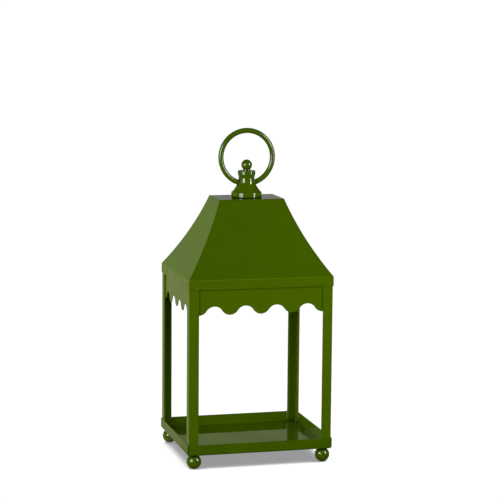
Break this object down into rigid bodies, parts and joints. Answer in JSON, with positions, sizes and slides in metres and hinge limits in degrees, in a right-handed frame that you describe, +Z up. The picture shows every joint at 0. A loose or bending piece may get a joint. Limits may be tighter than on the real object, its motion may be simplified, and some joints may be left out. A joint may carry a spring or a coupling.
{
  "type": "table lantern",
  "caption": "Open-sided candle lantern of enamelled sheet metal with a folded tray on ball feet, angle posts, scalloped valances, a swept hip roof and a turned finial with a swinging ring.",
  "frame": {"origin": "centre of the footprint, on the surface that the four feet stand on", "axes": "+Z up along the lantern's height, +X to the right across the wider side, front faces -Y"},
  "size_m": [0.178, 0.152, 0.3993],
  "materials": {
    "green_enamel": "glossy green enamel on sheet steel",
    "plated_steel": "zinc plated"
  },
  "bodies": {
    "lantern": {"tray": "green_enamel", "front_left_foot": "green_enamel", "front_right_foot": "green_enamel", "rear_left_foot": "green_enamel", "rear_right_foot": "green_enamel", "front_left_post": "green_enamel", "front_right_post": "green_enamel", "rear_left_post": "green_enamel", "rear_right_post": "green_enamel", "front_valance": "green_enamel", "rear_valance": "green_enamel", "left_valance": "green_enamel", "right_valance": "green_enamel", "front_roof_panel": "green_enamel", "rear_roof_panel": "green_enamel", "left_roof_panel": "green_enamel", "right_roof_panel": "green_enamel", "roof_top_plate": "green_enamel", "finial_bell": "green_enamel", "finial_ball": "green_enamel", "foot_studs": "plated_steel", "finial_screw": "plated_steel", "finial_washer": "plated_steel"},
    "ring": {"ring_handle": "green_enamel"}
  },
  "joints": [
    {"name": "ring_swing", "type": "hinge", "parent": "lantern", "child": "ring", "pos_m": [0, 0, 0.33301], "axis": [1, 0, 0], "range_deg": [-115, 115]}
  ]
}
